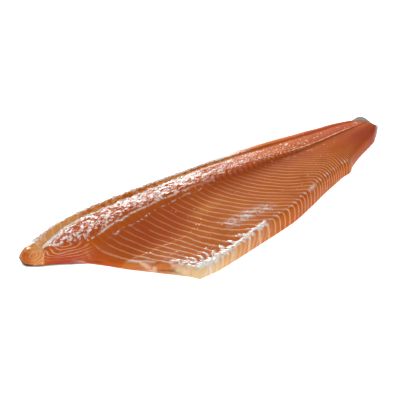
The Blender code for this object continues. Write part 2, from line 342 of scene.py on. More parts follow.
def segmentPhase(x, y, s, fromBelly):
    # Segments at x less an offset: lean times the distance below the spine line, plus sweep times
    # its square. Past the belly ridge the distance stops growing and the lines turn by ridgeTurn.
    # Above the spine line the offset is backLean times the distance
    belly, back = longEdges(x)
    spineY = belly + read(lines["spine"], s) * (back - belly)
    below = spineY - y
    inset = read(muscle["ridgeInset"], x)
    beyond = inset - fromBelly
    soft = 1.2
    beyond = soft * np.log1p(np.exp(np.clip(beyond / soft, -30, 30)))
    under = np.clip(below, 0, None)
    reach = np.clip(under - beyond, 0, None)
    offset = read(muscle["lean"], x) * reach + read(muscle["sweep"], x) * reach**2
    offset += read(muscle["ridgeTurn"], x) * beyond
    offset += muscle["backLean"] * np.clip(-below, 0, None)
    waver = muscle["waver"] * noise(x / 14, y / 11, 3, 2)
    return segmentsTo(x - offset + waver), below


def gridStops(counts, stops, crowdEnds):
    # Places between the stops, counts[i] steps each. Those of the end stretches can crowd outwards
    places = [stops[0]]
    for index, count in enumerate(counts):
        share = np.arange(1, count + 1) / count
        if crowdEnds and index == 0:
            share = 1 - np.cos(share * np.pi / 2)
        if crowdEnds and index == len(counts) - 1:
            share = np.sin(share * np.pi / 2)
        places += [stops[index] + step * (stops[index + 1] - stops[index]) for step in share]
    return np.array(places)


# Placing: the shares' plan is moved so that its box is the CAD flesh's box
fleshLow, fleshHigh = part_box("flesh")


def placed(x, y, z):
    # Millimetres counted from the head tip become metres in the frame
    ringS, ringV = np.meshgrid(np.linspace(0, 1, 801), np.linspace(0, 1, 201), indexing="ij")
    ringX, ringY = planPlace(ringS, ringV)
    shiftX = (fleshLow.x + fleshHigh.x) / 2 - (ringX.min() + ringX.max()) / 2 * mm
    shiftY = (fleshLow.y + fleshHigh.y) / 2 - (ringY.min() + ringY.max()) / 2 * mm
    return np.stack([x * mm + shiftX, y * mm + shiftY, z * mm], axis=-1)


def gridNormals(points):
    # Cross product of the two central differences, made one unit long
    normal = np.cross(np.gradient(points, axis=0), np.gradient(points, axis=1))
    return normal / np.maximum(np.linalg.norm(normal, axis=-1, keepdims=True), 1e-12)


def addObject(name, data):
    thing = bpy.data.objects.new(name, data)
    bpy.context.scene.collection.objects.link(thing)
    return thing


def quads(grid):
    # The faces between neighbours in a grid of point numbers
    corners = [grid[:-1, :-1], grid[1:, :-1], grid[1:, 1:], grid[:-1, 1:]]
    return np.stack(corners, axis=-1).reshape(-1, 4).tolist()


def closedSheet(name, top, bottom, picked, fields, material):
    # Two grids joined round their edges. The bottom has only the picked columns, so the end walls
    # are faces with many corners. The fields, a number for each point of the top, become attributes
    rows, columns = top.shape[:2]
    upper = np.arange(rows * columns).reshape(rows, columns)
    lower = rows * columns + np.arange(rows * len(picked)).reshape(rows, len(picked))
    faces = quads(upper) + [[a, d, c, b] for a, b, c, d in quads(lower)]
    faces += quads(np.stack([lower[:, 0], upper[:, 0]], axis=1))
    faces += quads(np.stack([upper[:, -1], lower[:, -1]], axis=1))
    for low in range(len(picked) - 1):
        edge = slice(picked[low], picked[low + 1] + 1)
        faces.append(upper[0, edge].tolist() + lower[0, low : low + 2].tolist()[::-1])
        faces.append(upper[-1, edge].tolist()[::-1] + lower[-1, low : low + 2].tolist())
    points = np.concatenate([top.reshape(-1, 3), bottom[:, picked].reshape(-1, 3)])
    mesh = bpy.data.meshes.new(name)
    mesh.from_pydata(points.tolist(), [], faces)
    mesh.update()
    for key, values in fields.items():
        attribute = mesh.attributes.new(key, "FLOAT", "POINT")
        both = np.concatenate([values.ravel(), values[:, picked].ravel()])
        attribute.data.foreach_set("value", both.astype(np.float32))
    mesh.shade_smooth()
    mesh.set_sharp_from_angle(angle=np.radians(65))
    mesh.materials.append(material)
    return addObject(name, mesh)


# Node helpers: plug links a socket to an input, or writes a value or a colour into it


def plug(tree, entry, value):
    if isinstance(value, bpy.types.NodeSocket):
        tree.links.new(value, entry)
    else:
        entry.default_value = (*value, 1) if entry.type == "RGBA" else value


def plugAll(tree, node, values):
    for key, value in values.items():
        plug(tree, node.inputs[key], value)


def addNode(tree, kind, inputs=None, settings=None):
    node = tree.nodes.new("ShaderNode" + kind)
    for key, value in (settings or {}).items():
        setattr(node, key, value)
    plugAll(tree, node, inputs or {})
    return node


def fieldOf(tree, key):
    return addNode(tree, "Attribute", None, {"attribute_name": key}).outputs["Fac"]


def mathOf(tree, operation, first, second, clamp=False):
    settings = {"operation": operation, "use_clamp": clamp}
    return addNode(tree, "Math", {0: first, 1: second}, settings).outputs[0]


def stepOf(tree, value, low, high):
    # Smooth step from 0 at low to 1 at high
    inputs = {"Value": value, "From Min": low, "From Max": high}
    return addNode(tree, "MapRange", inputs, {"interpolation_type": "SMOOTHSTEP"}).outputs[0]


def mixOf(tree, share, first, second):
    inputs = {0: share, 6: first, 7: second}
    return addNode(tree, "Mix", inputs, {"data_type": "RGBA"}).outputs[2]


def noiseOf(tree, vector, scale, detail=2):
    inputs = {"Vector": vector, "Scale": scale, "Detail": detail}
    return addNode(tree, "TexNoise", inputs).outputs["Fac"]


def newMaterial(name):
    material = bpy.data.materials.new(name)
    material.use_nodes = True
    return material, material.node_tree, material.node_tree.nodes["Principled BSDF"]


# The camera

cameraData = bpy.data.cameras.new("camera")
cameraData.lens = viewpoint["lens"]
camera = addObject("camera", cameraData)
azimuth, elevation = np.radians(viewpoint["azimuth"]), np.radians(viewpoint["elevation"])
back = Vector((
    np.sin(azimuth) * np.cos(elevation),
    -np.cos(azimuth) * np.cos(elevation),
    np.sin(elevation),
))
camera.location = Vector(viewpoint["target"]) + back * viewpoint["distance"]
camera.rotation_euler = back.to_track_quat("Z", "Y").to_euler()
bpy.context.scene.camera = camera
print("Camera placed")

# Floor and light: a white light table, a low panel behind the fillet and two soft lights

studio = {
    "floorHalf": 4,
    "floorColour": (0.85, 0.85, 0.85),
    "floorGlow": 0.75,
    "worldStrength": 0.1,
    "backPanel": {"distance": 1.3, "aside": -0.53, "height": 0.45, "size": (1.13, 0.86), "power": 31},
    "topLight": {"place": (-0.2, -0.1, 1.5), "size": (1, 1), "power": 8},
    "frontLight": {"place": (-1.3, -1.5, 0.9), "size": (0.9, 0.9), "power": 12},
}


def makeFloor():
    half = studio["floorHalf"]
    mesh = bpy.data.meshes.new("floor")
    corners = [(-half, -half, 0), (half, -half, 0), (half, half, 0), (-half, half, 0)]
    mesh.from_pydata(corners, [], [(0, 1, 2, 3)])
    material, tree, shader = newMaterial("floorWhite")
    place = addNode(tree, "TexCoord").outputs["Object"]
    tone = stepOf(tree, noiseOf(tree, place, 3), 0, 1)
    paler = [0.98 * part for part in studio["floorColour"]]
    colour = mixOf(tree, tone, paler, studio["floorColour"])
    glow = {"Emission Color": (1, 1, 1), "Emission Strength": studio["floorGlow"]}
    plugAll(tree, shader, {"Base Color": colour, "Roughness": 0.9, **glow})
    mesh.materials.append(material)
    floor = addObject("floor", mesh)


def addPanel(name, place, size, power, aim=(0, 0, 0)):
    light = bpy.data.lights.new(name, "AREA")
    light.shape = "RECTANGLE"
    light.size, light.size_y = size
    light.energy = power
    panel = addObject(name, light)
    panel.location = place
    panel.rotation_euler = (Vector(place) - Vector(aim)).to_track_quat("Z", "Y").to_euler()


def addBackPanel(distance, aside, height, size, power):
    # Upright behind the fillet, facing the camera
    away = Vector((-back.x, -back.y, 0)).normalized()
    right = Vector((-back.y, back.x, 0)).normalized()
    place = away * distance + right * aside + Vector((0, 0, height))
    addPanel("backPanel", place, size, power, place - away)


makeFloor()
world = bpy.data.worlds.new("studio")
world.use_nodes = True
sky = {"Strength": studio["worldStrength"], "Color": (1, 1, 1)}
plugAll(world.node_tree, world.node_tree.nodes["Background"], sky)
bpy.context.scene.world = world
bpy.context.scene.view_settings.view_transform = "Standard"
addBackPanel(**studio["backPanel"])
addPanel("topLight", **studio["topLight"])
addPanel("frontLight", **studio["frontLight"])
print("Floor and lights placed")

# The flesh. Entries in S and V are shares, and all other lengths are millimetres

flesh = {
    "rows": (12, 546, 12),
    "columns": (12, 30, 4, 26, 10, 40, 14, 14),
    "headRun": 9,
    "underColumns": 11,
    "wrapReach": (0.2, 1.2),
    "wrapEndV": (0.6, 0.7),
    "lineRise": 0.1,
    "blockRise": 0.1,
    "unevenRise": 0.2,
    "lobes": {"start": 0.42, "end": 0.76, "swing": 0.012, "rise": 1.3},
    "ribbon": {
        "halfWidth": {78: 3.6, 100: 3, 120: 2.2, 145: 1.7, 160: 2.2, 176: 2.4, 181: 0},
        "inside": 3.9,
        "endX": (168, 181),
        "strandReach": {75: 17, 108: 16, 125: 13, 150: 9.5, 180: 5},
        "strandEndX": (158, 180),
        "cornerReach": (6, 12),
        "cornerEndV": (0.16, 0.26),
    },
    # Wet loin facets: their pale paint and specks are painted highlights
    "glitter": {
        "size": (3.8, 2.6),
        "tilt": 0.85,
        "fineSize": (1.8, 1.4),
        "fineTilt": 0.22,
        "lean": 0.9,
        "plenty": {0: 0.14, 0.2: 0.28, 0.5: 0.42, 0.85: 0.6, 1: 0.7},
        "drift": 0.35,
        "rearS": (0.42, 0.62),
        "thinS": (0.48, 0.72),
        "endS": (0.76, 0.9),
        "rows": {"start": 0.5, "end": 0.76, "spacing": 4.6, "strength": 0.3},
    },
    "stripStreaks": {"lean": 2.7, "rise": 0.05, "endS": (0.55, 0.75)},
    "goldReach": {0: 7, 0.02: 5.2, 0.06: 3.6, 0.1: 2.9, 0.14: 2.3, 0.3: 2.1, 1: 2},
    "goldTeeth": {"depth": 3.8, "endX": (90, 150)},
    "goldLines": {"lean": 0.56, "share": 0.8, "strength": 0.55, "endS": (0.14, 0.2)},
    "goldBack": {0: 0.3, 0.35: 0.35, 0.6: 0.65, 0.8: 0.65, 0.9: 0, 1: 0},
    # The strip's painted highlight over a pale fat film: where it starts and ends
    "filmHighlight": {"startReach": (7, 16), "endS": (0.56, 0.72)},
    "speck": {"scale": 560, "lean": 0.6, "length": 1.5, "size": (0.22, 0.48)},
    "spineLine": {"rise": 0.35, "halfWidth": 0.5, "startS": (0.03, 0.07), "endS": (0.3, 0.44)},
    "spineDashes": {"halfWidth": 0.4, "aside": 0.8, "start": 0.07, "end": 0.4},
    "tailLine": {"halfWidth": 0.9, "startS": (0.6, 0.7), "endS": (0.9, 0.96)},
    "knotRing": {"x": 184, "below": -1.2, "size": (5.5, 1.6)},
    # A band of painted sheen on the flap, over a low ridge
    "sheenPatch": {"x": {143: 0, 153: 1, 190: 1, 205: 0}, "v": {143: 0.22, 168: 0.207, 200: 0.155},
                   "halfWidth": 5, "rise": 0.3},
    "stripRings": {"v": 0.877, "height": 11, "spacing": 2.3, "towardsBelly": 1, "towardsBack": 0.8},
    "loinRings": {"v": 0.755, "height": 18, "spacing": 2.1, "towardsBelly": 0.45, "towardsBack": 0.7},
    "septumV": 0.824,
    "flapCutV": (0.17, 0.42),
    "creamEndX": (92, 128),
    "ribRedEndS": (0.2, 0.42),
    "tailRedS": (0.72, 0.88),
    # How strong each colour's masks are. A mask that isn't listed counts fully
    "reds": {"hollow": 0.3, "rib": 0.52, "tail": 0.65, "lobeShade": 0.55, "headFootShade": 0.5, "loinSpineSide": 0.35},
    "golds": {"stripEnd": 0.6, "headBack": 0.45, "hollowGloss": 0.3, "flap": 0.09, "flapCut": 0.22},
    "creams": {"flapCut": 0.05, "front": 0.9},
    "pales": {"septum": 0.55, "blotch": 0.7, "sheenUnderSpine": 0.4},
    "fatsAndHighlights": {"cornerGlints": 0.9, "stripes": 0.6, "glint": 0.9, "filmHighlight": 0.75, "membrane": 0.35, "fuzz": 0.035,
             "furry": 0.35, "lip": 0.6},
    "colours": {
        "red": (0.47, 0.062, 0.03),
        "orange": (0.56, 0.116, 0.01),
        "gold": (0.88, 0.38, 0.1),
        "cream": (0.9, 0.66, 0.36),
        "pale": (0.95, 0.79, 0.72),
        "fat": (0.98, 0.93, 0.88),
        "line": (0.88, 0.45, 0.22),
        "deepLine": (0.64, 0.24, 0.07),
        "ring": (0.92, 0.64, 0.42),
    },
    "broadScale": 60,
    "fineScale": 420,
    "wetRelief": {"Strength": 0.5, "Distance": 0.00018},
    "surface": {
        "Roughness": 0.5, "IOR": 1.38, "Specular IOR Level": 0.05,
        "Sheen Weight": 0.15, "Sheen Roughness": 0.25,
        "Subsurface Weight": 0.2, "Subsurface Radius": (1, 0.35, 0.15), "Subsurface Scale": 0.003,
        "Coat Roughness": 0.07, "Coat IOR": 1.38,
    },
}


def patchy(a, b, seed, layers, low, high):
    # Patches of noise: 0 where it is under low, 1 where it is over high
    return ramp(noise(a, b, seed, layers), low, high)


def weighted(masks, key):
    # Each mask times its strength
    return [flesh[key].get(name, 1) * mask for name, mask in masks.items()]


def fleshGrid():
    # s crowds towards both cut ends, and v has columns along the trim, spine and furrow lines.
    # The spine line swings by a cosine wave, one lobe for each muscle segment
    headShare, tailShare = flesh["headRun"] / 400, heights["tailRound"] / 400
    s = gridStops(flesh["rows"], (0, headShare, 1 - tailShare, 1), True)
    belly, back = longEdges(planPlace(s, np.full_like(s, 0.6))[0])
    trim, spine, furrow = trimLine(s), read(lines["spine"], s), read(lines["furrow"], s)
    lobes = flesh["lobes"]
    swing = lobes["swing"] * band(s, lobes["start"], lobes["end"], 0.05)
    swing *= np.cos(2 * np.pi * segmentsTo(planPlace(s, spine)[0]))
    halfTrim = heights["trimStepV"] / 2
    stops = (
        np.zeros_like(s),
        heights["bellyRound"] / (back - belly),
        trim - halfTrim,
        trim + halfTrim,
        spine - read(lines["spineStepV"], s) + swing,
        spine + swing,
        furrow,
        furrow + lines["stripShare"] * (1 - furrow),
        np.ones_like(s),
    )
    v = gridStops(flesh["columns"], stops, True).T
    return np.repeat(s[:, None], v.shape[1], axis=1), v


def describeFlesh():
    # What the relief and the colours depend on. Below and beyond are distances from the spine and
    # the furrow. The underside's edge wraps down over the skin at the belly and the flap's front
    s, v = fleshGrid()
    x, y = planPlace(s, v)
    fromHead, fromTail, fromBelly, fromBack = edgeDistances(s, v)
    phase, below = segmentPhase(x, y, s, fromBelly)
    spine, furrow = read(lines["spine"], s), read(lines["furrow"], s)
    across = fromBelly + fromBack
    beyond = (v - furrow) * across
    streak = segmentsTo(x - flesh["stripStreaks"]["lean"] * beyond)
    look = flesh["goldTeeth"]
    teeth = look["depth"] * (streak - np.floor(streak)) ** 2 * fall(x, *look["endX"])
    headFace = fall(fromHead / read(heights["headRound"], v), 0.38, 0.62)
    wrap = np.maximum(ramp(fromHead, *flesh["wrapReach"]), ramp(v, *flesh["wrapEndV"]))
    wrap = np.minimum(ramp(fromBelly, *flesh["wrapReach"]), wrap)
    return SimpleNamespace(
        s=s, v=v, x=x, y=y, phase=phase, below=below, beyond=beyond, streak=streak, across=across,
        fromHead=fromHead, fromTail=fromTail, fromBelly=fromBelly, fromBack=fromBack, headFace=headFace,
        top=fleshTop(s, v),
        under=fleshUnderside(s, v) * (0.1 + 0.9 * wrap),
        toLine=np.abs(phase - np.round(phase)),
        trim=(v - trimLine(s)) * across,
        foot=(v - spine + read(lines["spineStepV"], s)) * across,
        loin=(v - spine) / (furrow - spine),
        past=beyond - read(flesh["goldReach"], s) - teeth,
        septum=(v - flesh["septumV"]) * across,
        flapCut=headFace * band(v, *flesh["flapCutV"], 0.01),
        wall=fall(fromBelly, 3.2, 4.8),
        front=fall(fromHead, 2.5, 4) * fall(v, 0.13, 0.2),
    )


def ribbonOf(at):
    # White fat on the belly corner: a crumbly band of uneven width, strands along the muscle lines
    # near the front, and a patch at the front corner
    look, x, inside, fromHead = flesh["ribbon"], at.x, at.fromBelly, at.fromHead
    uneven = noise(x / 2.6, inside / 2, 41, 3)
    halfWidth = read(look["halfWidth"], x)
    middle = look["inside"] + 0.5 * halfWidth - 0.6 * uneven
    ribbon = ramp(halfWidth * (1 + 0.6 * uneven) - np.abs(inside - middle), -0.4, 0.5)
    crumbs = patchy(x / 1.6, inside / 1.4, 47, 2, -0.6, 0.1)
    ribbon *= fall(x + 6 * uneven, *look["endX"]) * (0.75 + 0.25 * crumbs)
    reach = read(look["strandReach"], x) * (1 + 0.3 * uneven)
    strands = fall(at.toLine, 0.1, 0.22) * band(inside, 3, reach, 1.5)
    strands *= fall(x, *look["strandEndX"]) * ramp(uneven, -1.1, -0.4)
    windows = ramp(np.abs(noise(x / 4, inside / 2.2, 53, 2)), 0.12, 0.4)
    corner = fall(fromHead + 2.5 * uneven, *look["cornerReach"]) * ramp(fromHead, 2, 3.2)
    corner *= fall(at.v, *look["cornerEndV"]) * ramp(inside, 2.4, 3.8)
    corner *= 1 - 0.85 * windows * ramp(inside, 4, 6)
    return ramp(fromHead, 2, 3.5) * unit(np.maximum.reduce([ribbon, 0.9 * strands, corner]))


def glitterOf(at):
    # Wet facets of the loin: cells tilted by chance, with finer ones over them and to the rear.
    # Gives their height, their painted highlight as pale paint, how wet they are, and the share of painted
    # glint specks
    look, s, x, y, share = flesh["glitter"], at.s, at.x, at.y, at.loin
    sheared = x + look["lean"] * at.below
    (along, across), (fineAlong, fineAcross) = look["size"], look["fineSize"]
    coarse = cells(sheared / along, y / across, 5)
    fine = cells(sheared / fineAlong, y / fineAcross, 19)
    rear = ramp(s, *look["rearS"])
    tilt = look["tilt"] * (coarse[3] * coarse[1] + coarse[4] * coarse[2])
    rise = (1 - 0.7 * rear) * (tilt + 0.3 * coarse[4])
    rise += look["fineTilt"] * (1 + 0.5 * rear) * (fine[3] * fine[1] + fine[4] * fine[2])
    plenty = read(look["plenty"], unit(share)) * (0.9 - 0.25 * ramp(s, 0.4, 0.55))
    plenty *= (1 - 0.5 * fall(s, 0.05, 0.14) * fall(share, 0.6, 1)) * (1 + 0.35 * bump(s, 0.3, 0.1))
    plenty *= (1 - 0.8 * ramp(s, *look["thinS"])) * fall(s, *look["endS"])
    drift = look["drift"] * noise(x / 9, y / 6, 61, 2)
    chosen = ramp(plenty + drift - 0.5 - 0.5 * coarse[3], -0.06, 0.06) * ramp(coarse[0], 0.03, 0.16)
    specks = ramp(plenty + drift - 0.62 - 0.5 * fine[3], -0.05, 0.05) * ramp(fine[0], 0.05, 0.2)
    dash = cells(x / 4.2, at.below / 1.25 + 0.12 * x, 37)
    dashes = ramp(0.5 * noise(x / 12, y / 9, 67, 2) - dash[3] - 0.1, -0.06, 0.1)
    dashes *= ramp(dash[0], 0.1, 0.3) * fall(share, 0.35, 0.7) * fall(s, 0.6, 0.72)
    paleness = unit((1 - rear) * chosen + (0.45 + 0.55 * rear) * specks + 0.85 * dashes)
    rows = look["rows"]
    wave = 0.5 + 0.5 * np.cos(2 * np.pi * (x - 0.8 * at.below) / rows["spacing"])
    wave *= band(s, rows["start"], rows["end"], 0.08) * ramp(share, 0, 0.3)
    glintShare = np.clip(1.15 * (plenty + rows["strength"] * wave) + 0.8 * drift, 0, 0.85)
    glintShare *= 1 - 0.95 * ramp(s, 0.72, 0.86)
    ragged = 0.12 * noise(x / 5, y / 4, 163, 3) * fall(s, 0.3, 0.5)
    onLoin = ramp(share + ragged, -0.02, 0.14) * fall(at.beyond, -1.4, -0.2)
    shiny = unit(0.12 + chosen + 0.6 * specks) * (1 - 0.8 * ramp(s, 0.34, 0.5))
    rise = onLoin * (rise + 0.2 * dashes) * fall(s, 0.74, 0.92)
    return rise, 0.75 * onLoin * paleness, 1 - onLoin * (1 - shiny), onLoin * glintShare


def spineMarksOf(at):
    # A pale line along the spine, dashes on a second line, an oval ring and the end in the tail
    s, x, below = at.s, at.x, at.below
    look = flesh["spineLine"]
    wander = 0.5 * noise(x / 6, s * 0, 71, 2)
    line = bump(below + 1.2 * wander, 0, look["halfWidth"])
    line *= fall(s, *look["endS"]) * ramp(s, *look["startS"])
    line *= patchy(x / 2.8 + below / 4, below / 1.5, 73, 3, -1, 0)
    look = flesh["spineDashes"]
    stray = 1.2 * noise(x / 11, s * 0, 77, 2)
    dashes = bump(at.foot - look["aside"] - stray, 0, look["halfWidth"])
    dashes *= band(s, look["start"], look["end"], 0.03) * patchy(x / 1.8, below / 1, 79, 3, -0.2, 0.5)
    knot = flesh["knotRing"]
    reach = np.hypot((x - knot["x"]) / knot["size"][0], (below - knot["below"]) / knot["size"][1])
    look = flesh["tailLine"]
    tail = bump(below, -0.8, look["halfWidth"]) * ramp(s, *look["startS"]) * fall(s, *look["endS"])
    return line, dashes, bump(reach, 1, 0.28), tail


def sheenOf(at):
    # A painted highlight on the flap: a band of mottled wet sheen, a bell across it, and noise that follows
    # the muscle lines
    look, x, y = flesh["sheenPatch"], at.x, at.y
    aside = (at.v - read(look["v"], x)) * at.across
    along = unit(read(look["x"], x)) * (x > min(look["x"])) * (x < max(look["x"]))
    mottle = patchy(x / 2.4 + y / 5, y / 1.6, 83, 3, -0.5, 0.3) * (1 - 0.5 * ramp(at.toLine, 0.1, 0.3))
    return along * bump(aside, 0, look["halfWidth"]) * mottle


def shapeFlesh(at):
    # Millimetres to add along the normal: lines and blocks of the muscle segments, wet facets, fat
    # lumps and unevenness. Also gives the painted marks
    s, x, y, streak = at.s, at.x, at.y, at.streak
    quiet = rounding(at.fromHead, 3) * rounding(at.fromTail, 3)
    quiet *= rounding(at.fromBack, 4) * rounding(at.fromBelly, 1.5)
    rise = flesh["lineRise"] * bump(at.toLine, 0, 0.08)
    rise += flesh["blockRise"] * (1 - 4 * (at.toLine - 0.5) ** 2)
    relief = ramp(at.below, 1, 6) * rise * (1 - 0.7 * ramp(s, 0.72, 0.88))
    facets, sparkle, wetness, glintShare = glitterOf(at)
    relief += facets
    strip, look = ramp(at.beyond, 0.5, 2.5), flesh["stripStreaks"]
    wave = np.abs(streak - np.round(streak))
    waves = look["rise"] * (np.cos(2 * np.pi * streak) - 0.5 * bump(wave, 0, 0.08))
    relief += strip * (1 - 0.8 * ramp(s, *look["endS"])) * waves
    relief += strip * 0.2 * noise((x + 0.9 * y) / 3.2, y / 5, 23, 3) * fall(s, 0.6, 0.8)
    fat = ribbonOf(at)
    relief += fat * (0.5 + 0.5 * noise(x / 1.7, y / 1.5, 31, 2))
    line, dashes, ring, tail = spineMarksOf(at)
    relief += flesh["spineLine"]["rise"] * (0.4 * line + 0.2 * dashes + 0.6 * ring + 0.4 * tail)
    lobes = flesh["lobes"]
    knobs = bump(at.below, 0.4, 1.3) * (0.5 + 0.5 * np.cos(2 * np.pi * segmentsTo(x)))
    relief += lobes["rise"] * band(s, lobes["start"], lobes["end"], 0.04) * knobs
    shine = sheenOf(at)
    relief += flesh["sheenPatch"]["rise"] * shine
    ragged = bump(at.trim, 0, 2.4) * fall(s, 0.2, 0.34)
    relief += flesh["unevenRise"] * noise(x / 16, y / 13, 11, 2)
    # The fat mark carries the flap's painted sheen, sparkle is painted highlight, and the specks are mostly
    # painted glints, besides real fat and pale lines
    marks = {
        "fat": unit(fat + 0.95 * line + 0.7 * dashes + 0.3 * ring + 0.85 * shine),
        "specks": unit(glintShare + 0.8 * line + 0.5 * dashes + 0.9 * shine + 0.12 * ragged),
        "sparkle": sparkle,
        "tailLine": 0.62 * tail + 0.075 * ragged * patchy(x / 1.8, y / 1.5, 97, 3, 0, 0.8),
        "wave": wave,
        "wetness": wetness,
    }
    return relief * quiet, marks


def ringsOf(at):
    # Nested rings on the head cut: distances from two centres over their spacing. A distance is the
    # 1.7th root of the summed 1.7th powers of the steps aside and down
    phases = []
    for look in (flesh["stripRings"], flesh["loinRings"]):
        aside = (at.v - look["v"]) * at.across
        aside = np.where(aside < 0, look["towardsBelly"] * aside, look["towardsBack"] * aside)
        drop = at.top - look["height"] + 1.2 * noise(aside / 5, at.top / 5, 107, 2)
        phases.append((np.abs(aside) ** 1.7 + np.abs(drop) ** 1.7) ** (1 / 1.7) / look["spacing"])
    return np.where(at.septum > 0, phases[0], phases[1])


def redOf(at, rib, foot):
    # Redder flesh: the rib hollow and the tail, painted shade below the spine's lobes, deepest between them,
    # and on the foot of the head cut, and a redder band over the loin's spine side
    s, v, loin = at.s, at.v, at.loin
    tail = bump(s, 0.9, 0.06) * bump(v, 0.2, 0.16) + bump(s, 0.97, 0.03) * bump(v, 0.06, 0.12)
    gaps = 0.5 - 0.5 * np.cos(2 * np.pi * segmentsTo(at.x))
    masks = {
        "hollow": bump(v, foot - 0.1, 0.09) * band(s, 0.36, 0.72, 0.06),
        "rib": rib,
        "tail": tail + (0.42 + 0.35 * ramp(loin, 0, 0.1)) * ramp(s, *flesh["tailRedS"]),
        # The next two masks are painted shade: red below the spine's lobes and on the lower head cut
        "lobeShade": bump(at.below, 2, 1.6) * band(s, 0.4, 0.72, 0.05) * (0.5 + 0.5 * gaps),
        "headFootShade": at.headFace * fall(at.top, 4, 15) * band(v, 0.6, 0.8, 0.04),
        # Redder over the loin's spine side, towards the head
        "loinSpineSide": ramp(loin, 0, 0.1) * fall(loin, 0.5, 0.95) * fall(s, 0.5, 0.7),
    }
    return unit(sum(weighted(masks, "reds")))


def goldOf(at):
    # Gold on the near side of the strip, the belly's face, the back edge, the flap and the head cut, and as a
    # painted soft highlight at the hollow's end. Cream on the belly's face and the front corner
    s, v, x, beyond, headFace = at.s, at.v, at.x, at.beyond, at.headFace
    broken = patchy(x / 4, beyond / 1.5, 113, 2, -0.6, 0.3)
    onStrip = ramp(beyond, -1.2, -0.5)
    strip = onStrip * fall(at.past, -0.4, 0.4) * fall(s, 0.45, 0.75) * (1 - 0.5 * headFace)
    face = fall(at.fromBelly, 3, 4.6)
    golds = {
        "strip": strip * (1 - ramp(s, 0.12, 0.2) * (1 - 0.8 * broken)),
        "stripEnd": onStrip * fall(at.fromHead, 10, 24) * (1 - 0.9 * headFace),
        "bellyFace": face * (0.4 * fall(x, 150, 210) + 0.6 * fall(x, 120, 165)),
        "backEdge": read(flesh["goldBack"], s) * ramp(v, 0.9, 0.98) * (1 - headFace),
        "headBack": headFace * ramp(v, 0.95, 0.99),
        # Painted soft highlight at the rear end of the rib hollow
        "hollowGloss": bump(s, 0.3, 0.06) * bump(v, 0.47, 0.05),
        "flap": fall(s, 0.3, 0.5) * fall(at.trim, -4, 1),
        "flapCut": at.flapCut,
    }
    creams = {
        "bellyFace": face * (0.75 * fall(x, *flesh["creamEndX"]) + 0.1 * fall(x, 112, 160)),
        "flapCut": at.flapCut,
        "front": at.front,
    }
    golden, creamy = weighted(golds, "golds"), weighted(creams, "creams")
    return unit(np.maximum.reduce(golden)), unit(np.maximum.reduce(creamy))


def fatFilmAndHighlightOf(at, wave):
    # Painted highlight over a pale fat film: white on the strip's far side, thinned by noise and streaks
    s, x, beyond, look = at.s, at.x, at.beyond, flesh["filmHighlight"]
    frosted = ramp(at.past, -0.4, 0.8) * fall(s, *look["endS"]) * ramp(at.fromHead, *look["startReach"])
    frosted *= ramp(at.fromBack + 1.5 * noise(x / 5, beyond / 4, 167, 3), 0.3, 4.5)
    frosted *= 0.55 + 0.45 * patchy(x / 1.7 - 0.9 * beyond, beyond / 6, 173, 2, -0.75, 0.15)
    streaks = fall(wave, 0.04, 0.14) * fall(beyond, 6, 11) * ramp(s, 0.05, 0.12)
    streaks *= patchy(x / 5, beyond / 4, 149, 2, -0.6, 0.4)
    return frosted * (1 - 0.4 * streaks) * (1 - at.headFace)


def paleOf(at, marks, frosted):
    # Pale marks: painted highlights (the strip's frost over a fat film, the loin's sparkle, the furrow's rim,
    # the sheen below the spine in the tail), the septum on the head cut, and the tail's line and blotch
    s, v, x, y = at.s, at.v, at.x, at.y
    # Painted highlight: glare along the loin's rim beside the furrow
    rim = bump(at.beyond, -2.6, 1.3 + 1.2 * fall(s, 0.05, 0.12)) * fall(s, 0.5, 0.66)
    blotch = bump(s, 0.965, 0.02) * bump(v, 0.62, 0.1)
    # Painted sheen below the spine in the tail
    sheenUnderSpine = bump(at.below, 6, 5) * band(s, 0.62, 0.8, 0.05)
    masks = {
        "frosted": frosted,
        "sparkle": marks["sparkle"] * (1 - at.headFace),
        "rim": rim * ramp(s, 0.012, 0.03),
        "septum": bump(at.septum, 0, 0.6) * at.headFace,
        "tailLine": marks["tailLine"],
        "blotch": blotch * patchy(x / 2, y / 2, 151, 2, -0.6, 0.4),
        "sheenUnderSpine": sheenUnderSpine * patchy(x / 3, y / 2, 101, 3, -0.3, 0.5),
    }
    return unit(np.maximum.reduce(weighted(masks, "pales")))


def fatAndHighlightOf(at, marks, frosted):
    # White fat and painted highlights: the relief's marks with the flap's painted sheen, painted glints on
    # the muscle lines over the belly corner, lines down its face, a painted glint on the belly ridge, the
    # thick of the strip's painted highlight, and membranes on the head cut and the flap
    s, v, x, y, top, toLine, wall = at.s, at.v, at.x, at.y, at.top, at.toLine, at.wall
    inside, toHead, headFace = at.fromBelly, at.fromHead, at.headFace
    corner = bump(inside, 5, 1.6) * fall(toLine, 0.08, 0.24) * band(x, 182, 320, 8)
    slope = 1.3 * segmentsTo(x - 0.5 * top)
    stripes = wall * bump(slope - np.round(slope), 0, 0.2) * fall(x, 130, 190) * (1 - at.front)
    membrane = bump(toHead, 0, 1.5) * bump(v, 0.655, 0.03) * fall(top, 3, 7)
    furry = fall(s, 0.2, 0.34) * fall(at.trim, -2, 1) * (1 - wall)
    furry *= fall(toLine, 0.04, 0.22) * fall(toHead, 10, 60)
    masks = {
        "painted": marks["fat"],
        "cornerGlints": corner * patchy(x / 3, y / 3, 109, 2, -0.4, 0.4),
        "stripes": stripes * (0.45 + 0.55 * ramp(x, 140, 165)),
        "glint": bump(s, 0.54, 0.018) * bump(inside, 4.6, 1.6) * ramp(toLine, 0.1, 0.3),
        "filmHighlight": frosted * ramp(at.past, 0, 5),
        "membrane": membrane * patchy(v * 90, top, 157, 2, -0.3, 0.5),
        "fuzz": headFace * band(v, 0.19, 0.3, 0.02) * patchy(top / 2, v * 110, 127, 3, 0, 0.7),
        "furry": furry * patchy(x / 2, y / 1.2, 131, 3, -0.5, 0.5),
        "lip": bump(toHead, 3, 0.9) * band(v, 0.27, 0.41, 0.01),
    }
    return unit(sum(weighted(masks, "fatsAndHighlights")))


